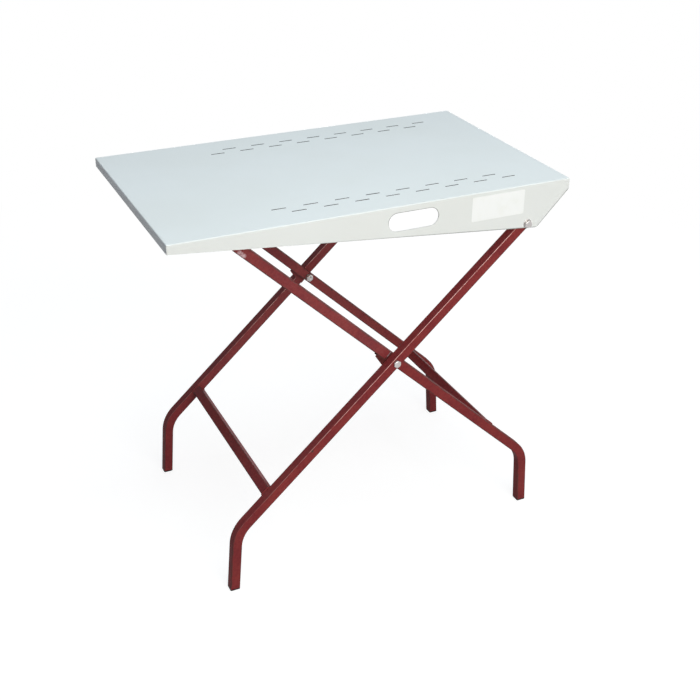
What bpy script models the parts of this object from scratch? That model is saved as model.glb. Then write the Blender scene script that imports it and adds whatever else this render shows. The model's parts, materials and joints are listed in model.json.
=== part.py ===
"""Folding work table: a folded sheet-steel top on scissor legs of square tube.

Metres, +Z up. The origin is on the floor under the middle of the top, +X points to the pivot end and
+Y to the rear. Every leg lies in a plane of constant Y, so leg shapes are drawn in XZ.
"""

from math import cos, pi, radians, sin, tan

import bmesh
import bpy
from mathutils import Matrix, Vector

# Folded top
TOP_LENGTH = 1.000
TOP_WIDTH = 0.600
SHEET = 0.0015
FOLD_RADIUS = 0.003
FREE_FLANGE = 0.022  # depth of the flange at the free end
PIVOT_FLANGE = 0.025  # depth of the flange at the pivot end
PIVOT_INSET = 0.112  # pivot axis from the pivot end
PIVOT_DROP = 0.098  # pivot axis below the working surface
HEEL_REACH = 0.0275  # lowest corner of the skirt, past the pivot
HEEL_DROP = 0.0145  # the same corner, below the pivot
HEEL_RADIUS = 0.012

# Slots and hand-holes share one middle, which lies off the top's own middle
PATTERN_SHIFT = 0.079
SLOT_LENGTH = 0.036
SLOT_WIDTH = 0.004
SLOT_PITCH = 0.0775
SLOTS_PER_LINE = 8
SLOT_INNER_LINE = 0.205
SLOT_OUTER_LINE = 0.231
HAND_HOLE_LENGTH = 0.128
HAND_HOLE_HEIGHT = 0.044
HAND_HOLE_DROP = 0.038

# Hat-section rails under the top
RAIL_SPACING = 0.200
RAIL_DEPTH = 0.020
RAIL_CROWN = 0.030
RAIL_FLANGE = 0.012
RAIL_SHEET = 0.0012
RAIL_END_SPACE = 0.040

# Scissor legs
TUBE = 0.025
WALL = 0.0015
TUBE_CORNER = 0.0025
BEND_RADIUS = 0.088
BEND = radians(43)  # the same on every leg, so that the feet splay a little
OUTER_LEAN = radians(42.3)
INNER_LEAN = radians(43.3)
OUTER_LOWER = 0.5715  # scissor axis to the corner of the bend
INNER_LOWER = 0.5666
OUTER_STUB = 0.1665  # height of the corner of the bend
PIVOT_TO_SCISSOR = 0.459
TUBE_END = 0.014  # tube past its last hole or bar
OUTER_BAR_REACH = 0.448  # cross-bar from the scissor axis, down the leg
INNER_BAR_REACH = 0.420
TOP_BAR = 0.020
TOP_BAR_WALL = 0.002

# Stop bracket at each crossing
BRACKET_PLATE = 0.0025
BRACKET_BACK = 0.010  # edge distance behind the scissor hole
BRACKET_HEAD = 0.012  # edge distance above it
BRACKET_REACH = 0.044
BRACKET_HEEL = 0.027  # depth of the web at the outer leg
BRACKET_TOE = 0.019  # depth of the web at its free end
LIP_CLEARANCE = 0.0035  # lip from the inner leg when the legs are shut
LIP_WIDTH = 0.010

# Plugs
FOOT_SPIGOT = 0.016
PLUG_TAPER = 0.0008
FOOT_CAP = 0.004
CAP_CHAMFER = 0.001
END_CAP = 0.003

# Fasteners
BOLT = 0.010
BOLT_POINT = 0.001
THREAD_PROUD = 0.003
HEX_FLATS = 0.017
HEX_CHAMFER = 0.0008
HEAD_HEIGHT = 0.0064
NUT_HEIGHT = 0.0095
WASHER = 0.021
WASHER_THICKNESS = 0.002
SPACER = 0.028
SPACER_THICKNESS = 0.0012

GAP = 0.0003  # between faces that touch
HOLE_CLEARANCE = 0.0001  # around a bolt, on the radius
ROUND_SIDES = 24
BEND_STEPS = 10
CORNER_STEPS = 3
CUT_PAST = 0.010  # how far a cutter runs past the wall that it cuts

# Places that follow
SCISSOR_Z = OUTER_STUB + OUTER_LOWER * sin(OUTER_LEAN)
PIVOT_X = TOP_LENGTH / 2 - PIVOT_INSET
PIVOT_Z = SCISSOR_Z + PIVOT_TO_SCISSOR * sin(OUTER_LEAN)
SCISSOR_X = PIVOT_X - PIVOT_TO_SCISSOR * cos(OUTER_LEAN)
TOP_Z = PIVOT_Z + PIVOT_DROP
UNDERSIDE_Z = TOP_Z - SHEET
RAIL_BOTTOM_Z = UNDERSIDE_Z - GAP - RAIL_DEPTH
INNER_STUB = SCISSOR_Z - INNER_LOWER * sin(INNER_LEAN)
INNER_UPPER = (RAIL_BOTTOM_Z - GAP - TOP_BAR / 2 - SCISSOR_Z) / sin(INNER_LEAN)
OUTER_Y = TOP_WIDTH / 2 - SHEET - 2 * GAP - SPACER_THICKNESS - TUBE / 2
INNER_Y = OUTER_Y - TUBE - 2 * GAP - BRACKET_PLATE
HOLE_RADIUS = BOLT / 2 + HOLE_CLEARANCE
END_SPIGOT = TUBE_END - HOLE_RADIUS - GAP  # stops short of the pivot bolt

SCISSOR = Vector((SCISSOR_X, 0, SCISSOR_Z))
PIVOT = Vector((PIVOT_X, 0, PIVOT_Z))
SIDES = {"front": -1, "rear": 1}


def clear_scene():
    for obj in list(bpy.data.objects):
        bpy.data.objects.remove(obj)


def paint(name, colour, roughness, metallic):
    """A Principled material of one colour."""
    material = bpy.data.materials.new(name)
    material.use_nodes = True
    shader = material.node_tree.nodes["Principled BSDF"]
    shader.inputs["Base Color"].default_value = (*colour, 1)
    shader.inputs["Roughness"].default_value = roughness
    shader.inputs["Metallic"].default_value = metallic
    return material


def hinge_frame(name, place):
    """An empty on a joint's axis, which carries the pieces that turn about it."""
    frame = bpy.data.objects.new(name, None)
    frame.location = place
    bpy.context.scene.collection.objects.link(frame)
    return frame


def add_object(name, bm, material, frame, place, turn=(0, 0, 0)):
    """Closes a bmesh into an object of the frame, at a place and turn given in world axes."""
    bmesh.ops.recalc_face_normals(bm, faces=bm.faces)
    mesh = bpy.data.meshes.new(name)
    bm.to_mesh(mesh)
    bm.free()
    mesh.shade_smooth()
    mesh.set_sharp_from_angle(angle=radians(35))
    mesh.materials.append(material)
    obj = bpy.data.objects.new(name, mesh)
    bpy.context.scene.collection.objects.link(obj)
    obj.parent = frame
    obj.location = Vector(place) - frame.location
    obj.rotation_euler = turn
    return obj


def add_cutter(name, bm, frame, place, turn=(0, 0, 0)):
    cutter = add_object(name, bm, bpy.data.materials["bare_steel"], frame, place, turn)
    cutter.hide_render = True
    cutter.display_type = "WIRE"
    return cutter


def apply_boolean(obj, tool, operation):
    modifier = obj.modifiers.new(tool.name, "BOOLEAN")
    modifier.operation = operation
    modifier.object = tool
    modifier.solver = "EXACT"


def loft(rings, closed=False):
    """Skins rings of equally many points; open ends are capped, a closed loft joins last to first."""
    bm = bmesh.new()
    loops = [[bm.verts.new(point) for point in ring] for ring in rings]
    pairs = list(zip(loops, loops[1:]))
    if closed:
        pairs.append((loops[-1], loops[0]))
    else:
        bm.faces.new(loops[0])
        bm.faces.new(loops[-1])
    count = len(loops[0])
    for low, high in pairs:
        for i in range(count):
            j = (i + 1) % count
            bm.faces.new((low[i], low[j], high[j], high[i]))
    return bm


def prism(bm, outline, run):
    """Adds a closed prism: an outline of points, extruded along a vector."""
    face = bm.faces.new([bm.verts.new(point) for point in outline])
    grown = bmesh.ops.extrude_face_region(bm, geom=[face], use_keep_orig=True)["geom"]
    moved = [item for item in grown if isinstance(item, bmesh.types.BMVert)]
    bmesh.ops.translate(bm, verts=moved, vec=run)


def circle(radius, height):
    steps = [2 * pi * i / ROUND_SIDES for i in range(ROUND_SIDES)]
    return [Vector((radius * cos(a), radius * sin(a), height)) for a in steps]


def hexagon(flats, height):
    """A hexagon with as many points as a circle, so that a loft can join the two."""
    ring = []
    for i in range(ROUND_SIDES):
        angle = 2 * pi * i / ROUND_SIDES
        from_flat = angle % (pi / 3) - pi / 6
        radius = flats / 2 / cos(from_flat)
        ring.append(Vector((radius * cos(angle), radius * sin(angle), height)))
    return ring


def rounded_square(half, corner):
    """Points (u, v) of a square with rounded corners."""
    points = []
    for quarter in range(4):
        middle = pi / 4 + quarter * pi / 2
        centre = Vector((cos(middle), sin(middle))) * (half - corner) * 2**0.5
        for step in range(CORNER_STEPS + 1):
            angle = quarter * pi / 2 + pi / 2 * step / CORNER_STEPS
            points.append(centre + Vector((cos(angle), sin(angle))) * corner)
    return points


def tube_sections():
    """Outer and inner outline of the square tube."""
    outer = rounded_square(TUBE / 2, TUBE_CORNER)
    inner = rounded_square(TUBE / 2 - WALL, max(TUBE_CORNER - WALL, TUBE_CORNER / 5))
    return outer, inner


def obround(length, width):
    """Points (u, v) of a slot with round ends."""
    points = []
    for end in (1, -1):
        for step in range(ROUND_SIDES // 2 + 1):
            angle = -pi / 2 * end + pi * step / (ROUND_SIDES // 2)
            points.append((end * (length - width) / 2 + width / 2 * cos(angle), width / 2 * sin(angle)))
    return points


def hole_cutter(name, frame, place, radius, length):
    """A round bar along Y that drills both walls of whatever it crosses."""
    bm = loft([circle(radius, -length / 2), circle(radius, length / 2)])
    return add_cutter(name, bm, frame, place, (pi / 2, 0, 0))


# Square tube and what closes it


def sweep_tube(stations):
    """Square tube along stations (x, z, heading, stretch) in the XZ plane, open at both ends."""
    outer, inner = tube_sections()

    def ring(section, station):
        x, z, heading, stretch = station
        across = (-sin(heading) * stretch, cos(heading) * stretch)
        return [Vector((x + u * across[0], v, z + u * across[1])) for u, v in section]

    outside = [ring(outer, station) for station in stations]
    inside = [ring(inner, station) for station in reversed(stations)]
    return loft(outside + inside, closed=True)


def foot_splay(lean):
    """How far the foot end of a leg stands out from the vertical."""
    return pi / 2 - lean - BEND


def leg_stations(foot_side, lean, lower, stub, end):
    """Centreline of a bent leg from the foot, which is cut level, up; seen from the scissor axis."""
    splay = foot_splay(lean)
    stub_heading = pi / 2 + foot_side * splay
    leg_heading = stub_heading + foot_side * BEND
    corner_x = foot_side * lower * cos(lean)
    corner_z = -lower * sin(lean)
    drop = stub - FOOT_CAP - GAP
    stations = [(corner_x + foot_side * drop * tan(splay), corner_z - drop, pi / 2, 1 / cos(splay))]
    tangent = BEND_RADIUS * tan(BEND / 2)
    start_x = corner_x - tangent * cos(stub_heading)
    start_z = corner_z - tangent * sin(stub_heading)
    for step in range(BEND_STEPS + 1):
        heading = stub_heading + foot_side * BEND * step / BEND_STEPS
        x = start_x + foot_side * BEND_RADIUS * (sin(heading) - sin(stub_heading))
        z = start_z - foot_side * BEND_RADIUS * (cos(heading) - cos(stub_heading))
        stations.append((x, z, heading, 1))
    stations.append((-foot_side * end * cos(lean), end * sin(lean), leg_heading, 1))
    return stations


def make_leg(name, side, frame, finish, shape, holes):
    """A bent leg, drilled across at each hole's distance from the scissor axis up the leg."""
    foot_side, lean, lower, stub, end, y = shape
    stations = leg_stations(foot_side, lean, lower, stub, end)
    leg = add_object(name, sweep_tube(stations), finish, frame, SCISSOR + Vector((0, side * y, 0)))
    for number, distance in enumerate(holes):
        across = Vector((-foot_side * distance * cos(lean), side * y, distance * sin(lean)))
        length = TUBE + 2 * CUT_PAST
        tool = hole_cutter(f"{name}_drill_{number}", frame, SCISSOR + across, HOLE_RADIUS, length)
        apply_boolean(leg, tool, "DIFFERENCE")
    return leg


def make_cross_bar(name, frame, finish, lean, foot_side, reach, y):
    """Square tube between the inner faces of a pair of legs, turned with them."""
    half = y - TUBE / 2 - GAP
    outer, inner = tube_sections()
    rings = [[Vector((u, v, z)) for u, v in outer] for z in (-half, half)]
    rings += [[Vector((u, v, z)) for u, v in inner] for z in (half, -half)]
    place = SCISSOR + Vector((foot_side * reach * cos(lean), 0, -reach * sin(lean)))
    bm = loft(rings, closed=True)
    bmesh.ops.rotate(bm, verts=bm.verts, matrix=Matrix.Rotation(pi / 2, 3, "X"))
    return add_object(name, bm, finish, frame, place, (0, foot_side * lean, 0))


def make_plug(name, frame, finish, place, turn, cap, reach, slant=0):
    """A square plug: its cap closes the tube's end and its spigot runs up inside, along local Z."""
    spigot = TUBE / 2 - WALL - GAP
    sections = [
        (TUBE / 2 - CAP_CHAMFER, 0),
        (TUBE / 2, CAP_CHAMFER),
        (TUBE / 2, cap),
        (spigot, cap),
        (spigot, cap + reach - PLUG_TAPER),
        (spigot - PLUG_TAPER, cap + reach),
    ]
    rings = []
    for half, height in sections:
        corner = TUBE_CORNER if half > spigot else TUBE_CORNER / 2
        shift = height * tan(slant)
        rings.append([Vector((shift + u / cos(slant), v, height)) for u, v in rounded_square(half, corner)])
    return add_object(name, loft(rings), finish, frame, place, turn)


def make_leg_set(prefix, frame, finish, plastic, shape, holes, bar_reach):
    """A pair of legs with their cross-bar, foot plugs and end plugs."""
    foot_side, lean, lower, stub, end, y = shape
    splay = foot_splay(lean)
    foot_x = SCISSOR_X + foot_side * (lower * cos(lean) + stub * tan(splay))
    make_cross_bar(f"{prefix}_cross_bar", frame, finish, lean, foot_side, bar_reach, y)
    for word, side in SIDES.items():
        make_leg(f"{prefix}_leg_{word}", side, frame, finish, shape, holes)
        foot = Vector((foot_x, side * y, 0))
        name = f"{prefix}_foot_{word}"
        make_plug(name, frame, plastic, foot, (0, 0, 0), FOOT_CAP, FOOT_SPIGOT, -foot_side * splay)
        tip = end + GAP + END_CAP
        top = SCISSOR + Vector((-foot_side * tip * cos(lean), side * y, tip * sin(lean)))
        turn = (0, foot_side * (pi / 2 + lean), 0)
        make_plug(f"{prefix}_end_plug_{word}", frame, plastic, top, turn, END_CAP, END_SPIGOT)


def make_top_bar(frame, finish):
    """Round tube between the inner legs' upper ends, on which the top's rails rest."""
    half = INNER_Y - TUBE / 2 - GAP
    outer = TOP_BAR / 2
    bore = outer - TOP_BAR_WALL
    rings = [circle(outer, -half), circle(outer, half), circle(bore, half), circle(bore, -half)]
    place = SCISSOR + Vector((-INNER_UPPER * cos(INNER_LEAN), 0, INNER_UPPER * sin(INNER_LEAN)))
    add_object("inner_top_bar", loft(rings, closed=True), finish, frame, place, (pi / 2, 0, 0))


def make_bracket(word, side, frame, finish):
    """Plate between the crossing tubes, with a lip under the inner leg that stops the legs spreading."""
    along = Vector((-cos(INNER_LEAN), 0, sin(INNER_LEAN)))
    down = Vector((-sin(INNER_LEAN), 0, -cos(INNER_LEAN)))
    inward = Vector((0, -side, 0))
    lip_top = TUBE / 2 + GAP
    lip_start = TUBE / 2 + LIP_CLEARANCE
    outline = [
        (-BRACKET_BACK, -BRACKET_HEAD),
        (BRACKET_BACK, -BRACKET_HEAD),
        (BRACKET_BACK, lip_top),
        (lip_start, lip_top),
        (BRACKET_REACH, lip_top),
        (BRACKET_REACH, lip_top + BRACKET_PLATE),
        (BRACKET_REACH, BRACKET_TOE),
        (BRACKET_BACK, BRACKET_HEEL),
        (-BRACKET_BACK, BRACKET_HEEL),
    ]
    flat = [along * a + down * d for a, d in outline]
    bm = loft([flat, [point + inward * BRACKET_PLATE for point in flat]])
    inner_face = max(bm.faces, key=lambda face: face.calc_center_median().dot(inward))
    lip_corner = along * lip_start + down * (lip_top + BRACKET_PLATE) + inward * BRACKET_PLATE
    corners = list(inner_face.verts)
    bmesh.utils.face_split(inner_face, corners[3], corners[5], coords=[lip_corner])
    lip_face = max(corners[4].link_faces, key=lambda face: face.calc_center_median().dot(inward))
    grown = bmesh.ops.extrude_face_region(bm, geom=[lip_face])["geom"]
    moved = [item for item in grown if isinstance(item, bmesh.types.BMVert)]
    bmesh.ops.translate(bm, verts=moved, vec=inward * LIP_WIDTH)
    bm.faces.remove(lip_face)
    face = Vector((0, side * (OUTER_Y - TUBE / 2 - GAP), 0))
    bracket = add_object(f"stop_bracket_{word}", bm, finish, frame, SCISSOR + face)
    hole = hole_cutter(f"stop_bracket_drill_{word}", frame, SCISSOR + face, HOLE_RADIUS, 2 * CUT_PAST)
    apply_boolean(bracket, hole, "DIFFERENCE")


# Fasteners, drawn along local Z, which points out of the table


def outward(side):
    """Turn that points local Z away from the table's middle."""
    return (-side * pi / 2, 0, 0)


def make_bolt(name, frame, finish, place, side, grip):
    """Hex bolt: its head seats at local zero and its shank runs inwards."""
    rings = [
        circle(BOLT / 2 - BOLT_POINT, -grip),
        circle(BOLT / 2, -grip + BOLT_POINT),
        circle(BOLT / 2, 0),
        hexagon(HEX_FLATS, 0),
        hexagon(HEX_FLATS, HEAD_HEIGHT - HEX_CHAMFER),
        circle(HEX_FLATS / 2 - HEX_CHAMFER / 2, HEAD_HEIGHT),
    ]
    return add_object(name, loft(rings), finish, frame, place, outward(side))


def make_ring(name, frame, finish, place, side, diameter, thickness):
    """Plain washer, its outer face at local zero."""
    outer = diameter / 2
    rings = [circle(outer, 0), circle(HOLE_RADIUS, 0)]
    rings += [circle(HOLE_RADIUS, -thickness), circle(outer, -thickness)]
    return add_object(name, loft(rings, closed=True), finish, frame, place, outward(side))


def make_nut(name, frame, finish, place, side):
    """Lock nut, its outer face at local zero and a plain collar on its inner end."""
    collar = -NUT_HEIGHT * 0.7
    rings = [
        circle(HOLE_RADIUS, 0),
        hexagon(HEX_FLATS, 0),
        hexagon(HEX_FLATS, collar),
        circle(HEX_FLATS / 2 - HEX_CHAMFER, collar),
        circle(HEX_FLATS / 2 - 2 * HEX_CHAMFER, -NUT_HEIGHT),
        circle(HOLE_RADIUS, -NUT_HEIGHT),
    ]
    return add_object(name, loft(rings, closed=True), finish, frame, place, outward(side))


def make_bolted_joint(prefix, word, frame, finish, axis, head_seat, nut_seat):
    """Bolt, nut washer and nut that clamp everything between two distances from the middle."""
    side = SIDES[word]
    grip = head_seat - nut_seat + WASHER_THICKNESS + NUT_HEIGHT + 2 * GAP + THREAD_PROUD

    def at(y):
        return axis + Vector((0, side * y, 0))

    make_bolt(f"{prefix}_bolt_{word}", frame, finish, at(head_seat), side, grip)
    washer_face = nut_seat - GAP
    washer_name = f"{prefix}_nut_washer_{word}"
    make_ring(washer_name, frame, finish, at(washer_face), side, WASHER, WASHER_THICKNESS)
    make_nut(f"{prefix}_nut_{word}", frame, finish, at(washer_face - WASHER_THICKNESS - GAP), side)


# The top


def skirt_outline():
    """Side view of the top (x, z) from the free end's upper corner, round below, to the pivot end's."""
    half = TOP_LENGTH / 2
    free_low = Vector((-half, TOP_Z - FREE_FLANGE))
    heel = Vector((PIVOT_X + HEEL_REACH, PIVOT_Z - HEEL_DROP))
    end_low = Vector((half, TOP_Z - PIVOT_FLANGE))
    into = (free_low - heel).normalized()
    out = (end_low - heel).normalized()
    half_angle = into.angle(out) / 2
    centre = heel + (into + out).normalized() * HEEL_RADIUS / sin(half_angle)
    start = heel + into * HEEL_RADIUS / tan(half_angle) - centre
    sweep = pi - 2 * half_angle
    outline = [Vector((-half, TOP_Z)), free_low]
    for step in range(BEND_STEPS + 1):
        angle = sweep * step / BEND_STEPS
        outline.append(centre + Matrix.Rotation(angle, 2) @ start)
    outline += [end_low, Vector((half, TOP_Z))]
    return outline


def folded_sheet():
    """Outer skin of the folded top: working surface, two end flanges and two skirts, with rounded folds."""
    outline = skirt_outline()
    bm = bmesh.new()
    walls = []
    for side in SIDES.values():
        walls.append([bm.verts.new((x, side * TOP_WIDTH / 2, z)) for x, z in outline])
    front, rear = walls
    bm.faces.new(front)
    bm.faces.new(rear[::-1])
    bm.faces.new((front[0], front[-1], rear[-1], rear[0]))
    bm.faces.new((front[1], front[0], rear[0], rear[1]))
    bm.faces.new((front[-1], front[-2], rear[-2], rear[-1]))
    bmesh.ops.recalc_face_normals(bm, faces=bm.faces)
    folds = [edge for edge in bm.edges if len(edge.link_faces) == 2]
    bmesh.ops.bevel(bm, geom=folds, offset=FOLD_RADIUS, segments=3, profile=0.5, affect="EDGES")
    bmesh.ops.translate(bm, verts=bm.verts, vec=-PIVOT)
    return bm


def slot_field():
    """Every slot of the top in one cutter: four lines, of which the outer ones start half a pitch later."""
    bm = bmesh.new()
    for line, shift in ((SLOT_INNER_LINE, -SLOT_PITCH / 4), (SLOT_OUTER_LINE, SLOT_PITCH / 4)):
        for side in SIDES.values():
            for number in range(SLOTS_PER_LINE):
                x = PATTERN_SHIFT + shift + (number - (SLOTS_PER_LINE - 1) / 2) * SLOT_PITCH
                outline = obround(SLOT_LENGTH, SLOT_WIDTH)[::2]
                points = [Vector((x + u, side * line + v, -CUT_PAST)) for u, v in outline]
                prism(bm, points, Vector((0, 0, 2 * CUT_PAST)))
    return bm


def make_table_top(frame, finish):
    """The folded sheet, with its thickness inwards, slots, hand-holes and pivot holes."""
    top = add_object("table_top", folded_sheet(), finish, frame, PIVOT)
    wall = top.modifiers.new("sheet", "SOLIDIFY")
    wall.thickness = SHEET
    wall.offset = -1
    wall.use_even_offset = True
    across = TOP_WIDTH + 2 * CUT_PAST
    slots = add_cutter("slot_cutter", slot_field(), frame, (0, 0, TOP_Z))
    grips = bmesh.new()
    outline = [Vector((u, -across / 2, v)) for u, v in obround(HAND_HOLE_LENGTH, HAND_HOLE_HEIGHT)]
    prism(grips, outline, Vector((0, across, 0)))
    grip_place = (PATTERN_SHIFT, 0, TOP_Z - HAND_HOLE_DROP)
    hand_holes = add_cutter("hand_hole_cutter", grips, frame, grip_place)
    pivot_holes = hole_cutter("pivot_hole_cutter", frame, PIVOT, HOLE_RADIUS, across)
    for tool in (slots, hand_holes, pivot_holes):
        apply_boolean(top, tool, "DIFFERENCE")


def make_rail(word, side, frame, finish):
    """Hat-section stiffener: two flanges under the sheet, two webs and a crown."""
    out = RAIL_CROWN / 2
    brim = out + RAIL_FLANGE
    low = -RAIL_DEPTH
    right = [(brim, 0), (brim, -RAIL_SHEET), (out, -RAIL_SHEET), (out, low)]
    hollow = [(out - RAIL_SHEET, 0), (out - RAIL_SHEET, low + RAIL_SHEET)]
    outer = right + [(-y, z) for y, z in reversed(right)]
    inner = [(-y, z) for y, z in hollow] + list(reversed(hollow))
    half = TOP_LENGTH / 2 - RAIL_END_SPACE
    bm = bmesh.new()
    prism(bm, [Vector((-half, y, z)) for y, z in outer + inner], Vector((2 * half, 0, 0)))
    place = (0, side * RAIL_SPACING / 2, UNDERSIDE_Z - GAP)
    add_object(f"top_rail_{word}", bm, finish, frame, place)


def main():
    clear_scene()
    white = paint("white_enamel", (0.80, 0.82, 0.82), 0.38, 0.0)
    red = paint("red_enamel", (0.19, 0.025, 0.028), 0.28, 0.0)
    zinc = paint("bare_steel", (0.62, 0.62, 0.60), 0.35, 1.0)
    plastic = paint("black_plastic", (0.03, 0.022, 0.022), 0.55, 0.0)

    outer_frame = hinge_frame("outer_legs_frame", SCISSOR)
    inner_frame = hinge_frame("inner_legs_hinge", SCISSOR)
    top_frame = hinge_frame("table_top_hinge", PIVOT)

    outer_end = PIVOT_TO_SCISSOR + TUBE_END
    outer_shape = (-1, OUTER_LEAN, OUTER_LOWER, OUTER_STUB, outer_end, OUTER_Y)
    inner_shape = (1, INNER_LEAN, INNER_LOWER, INNER_STUB, INNER_UPPER + TUBE_END, INNER_Y)
    make_leg_set("outer", outer_frame, red, plastic, outer_shape, (0, PIVOT_TO_SCISSOR), OUTER_BAR_REACH)
    make_leg_set("inner", inner_frame, red, plastic, inner_shape, (0,), INNER_BAR_REACH)
    make_top_bar(inner_frame, red)
    make_table_top(top_frame, white)

    head_washer = TOP_WIDTH / 2 + GAP + WASHER_THICKNESS
    spacer = TOP_WIDTH / 2 - SHEET - GAP
    outer_inside = OUTER_Y - TUBE / 2
    inner_inside = INNER_Y - TUBE / 2
    for word, side in SIDES.items():
        make_bracket(word, side, outer_frame, red)
        make_rail(word, side, top_frame, white)
        head_seat = OUTER_Y + TUBE / 2 + GAP
        make_bolted_joint("scissor", word, outer_frame, zinc, SCISSOR, head_seat, inner_inside)
        make_bolted_joint("pivot", word, top_frame, zinc, PIVOT, head_washer + GAP, outer_inside)
        washer_place = PIVOT + Vector((0, side * head_washer, 0))
        washer_name = f"pivot_head_washer_{word}"
        make_ring(washer_name, top_frame, zinc, washer_place, side, WASHER, WASHER_THICKNESS)
        spacer_place = PIVOT + Vector((0, side * spacer, 0))
        make_ring(f"pivot_spacer_{word}", top_frame, plastic, spacer_place, side, SPACER, SPACER_THICKNESS)


main()
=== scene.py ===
"""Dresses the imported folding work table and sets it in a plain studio.

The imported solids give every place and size. Each sub-assembly is a class: it re-skins the solids that it
keeps, models what they lack, such as welds, plugs and turned fasteners, and gives each piece its finish.
Lengths are in metres.
"""

import json
import logging
import math
from collections.abc import Callable, Iterator, Sequence
from contextlib import contextmanager
from dataclasses import dataclass, field
from enum import Enum
from functools import cached_property, reduce
from typing import Any, Union

import bmesh
import bpy
from mathutils import Matrix, Vector


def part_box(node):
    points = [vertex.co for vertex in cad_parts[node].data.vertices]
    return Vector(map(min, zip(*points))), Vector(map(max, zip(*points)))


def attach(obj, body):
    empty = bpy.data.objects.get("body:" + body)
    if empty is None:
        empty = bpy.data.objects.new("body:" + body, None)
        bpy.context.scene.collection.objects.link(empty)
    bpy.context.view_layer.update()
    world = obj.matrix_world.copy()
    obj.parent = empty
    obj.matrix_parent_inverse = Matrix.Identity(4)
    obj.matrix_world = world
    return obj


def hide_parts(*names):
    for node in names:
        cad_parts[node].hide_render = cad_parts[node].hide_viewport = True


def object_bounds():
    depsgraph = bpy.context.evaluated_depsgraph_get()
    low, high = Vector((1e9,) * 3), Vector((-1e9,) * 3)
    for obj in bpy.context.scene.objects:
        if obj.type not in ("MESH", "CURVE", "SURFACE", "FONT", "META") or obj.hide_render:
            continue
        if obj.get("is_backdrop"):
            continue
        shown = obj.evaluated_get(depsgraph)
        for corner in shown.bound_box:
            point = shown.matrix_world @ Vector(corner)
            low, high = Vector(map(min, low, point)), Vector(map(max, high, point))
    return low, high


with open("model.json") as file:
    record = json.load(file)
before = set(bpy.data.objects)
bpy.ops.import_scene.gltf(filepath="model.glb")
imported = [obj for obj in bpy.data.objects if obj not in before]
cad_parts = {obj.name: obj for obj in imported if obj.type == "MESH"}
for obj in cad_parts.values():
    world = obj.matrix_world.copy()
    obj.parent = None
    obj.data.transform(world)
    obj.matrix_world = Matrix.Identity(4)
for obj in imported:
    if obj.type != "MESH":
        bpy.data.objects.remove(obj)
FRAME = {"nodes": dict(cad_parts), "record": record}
LOG = logging.getLogger("work_table")
CORNER = "tube_corner"
OUTER_LEAN = math.radians(42.3)
INNER_LEAN = math.radians(43.3)
WHITE_LIGHT = (1.0, 1.0, 1.0, 1.0)
MERGE_DISTANCE = 0.00001
FLAT_ANGLE = math.radians(0.3)
LEVEL = 0.95

Colour = tuple[float, float, float]
Point = tuple[float, float, float]
Pair = tuple[float, float]
Number = Union["Value", float, int]
Input = Union["Value", bpy.types.Node, bpy.types.NodeSocket, float, int, Sequence[float]]
Owner = Union[bpy.types.Material, bpy.types.World]


class Body(Enum):
    """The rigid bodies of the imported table."""

    TOP = "table_top"
    OUTER = "outer_legs"
    INNER = "inner_legs"


class Side(Enum):
    """The two halves of the table, by the sign of Y."""

    FRONT = -1
    REAR = 1

    @property
    def word(self) -> str:
        """The word that node names end with."""
        return self.name.lower()


class Coat(Enum):
    """The finishes that pieces ask for."""

    WHITE = "white enamel"
    RED = "red enamel"
    # A darker copy of the red enamel, as painted shade.
    SHADOW_PAINTED_RED = "shadow_painted red enamel"
    ZINC = "zinc plate"
    # Zinc with a darker tone.
    DARKER_ZINC = "darker zinc plate"
    PLUG = "black plastic"
    NYLON = "nylon"
    LABEL = "blank vinyl"


class Turned(Enum):
    """The fastener parts that are modelled once and copied."""

    NUT = "nut"
    INSERT = "insert"
    WASHER = "washer"


class Value:
    """A number in a material, on which Python arithmetic adds Math nodes."""

    def __init__(self, graph: "Graph", socket: bpy.types.NodeSocket) -> None:
        """Wraps an output socket that carries one number."""
        self.graph = graph
        self.socket = socket

    def _math(self, operation: str, first: Number, second: Number) -> "Value":
        """The result of one Math node."""
        node = self.graph.node("ShaderNodeMath", {"operation": operation}, {0: first, 1: second})
        return Value(self.graph, node.outputs[0])

    def __add__(self, other: Number) -> "Value":
        """Sum."""
        return self._math("ADD", self, other)

    def __radd__(self, other: Number) -> "Value":
        """Sum, with the number on the left."""
        return self._math("ADD", other, self)

    def __sub__(self, other: Number) -> "Value":
        """Difference."""
        return self._math("SUBTRACT", self, other)

    def __rsub__(self, other: Number) -> "Value":
        """Difference, with the number on the left."""
        return self._math("SUBTRACT", other, self)

    def __mul__(self, other: Number) -> "Value":
        """Product."""
        return self._math("MULTIPLY", self, other)

    def __rmul__(self, other: Number) -> "Value":
        """Product, with the number on the left."""
        return self._math("MULTIPLY", other, self)

    def __abs__(self) -> "Value":
        """Size without sign."""
        return self._math("ABSOLUTE", self, 0.0)

    def larger(self, other: Number) -> "Value":
        """The larger of two numbers."""
        return self._math("MAXIMUM", self, other)

    def smaller(self, other: Number) -> "Value":
        """The smaller of two numbers."""
        return self._math("MINIMUM", self, other)

    def ramp(self, empty: float, full: float) -> "Value":
        """A soft step.

        Args:
            empty: Where the step leaves 0.
            full: Where it reaches 1, above or below.

        Returns:
            A number from 0 to 1.
        """
        rising = float(empty < full)
        ends = {1: min(empty, full), 2: max(empty, full), 3: 1.0 - rising, 4: rising}
        settings = {"interpolation_type": "SMOOTHSTEP"}
        node = self.graph.node("ShaderNodeMapRange", settings, {0: self, **ends})
        return Value(self.graph, node.outputs[0])


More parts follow.
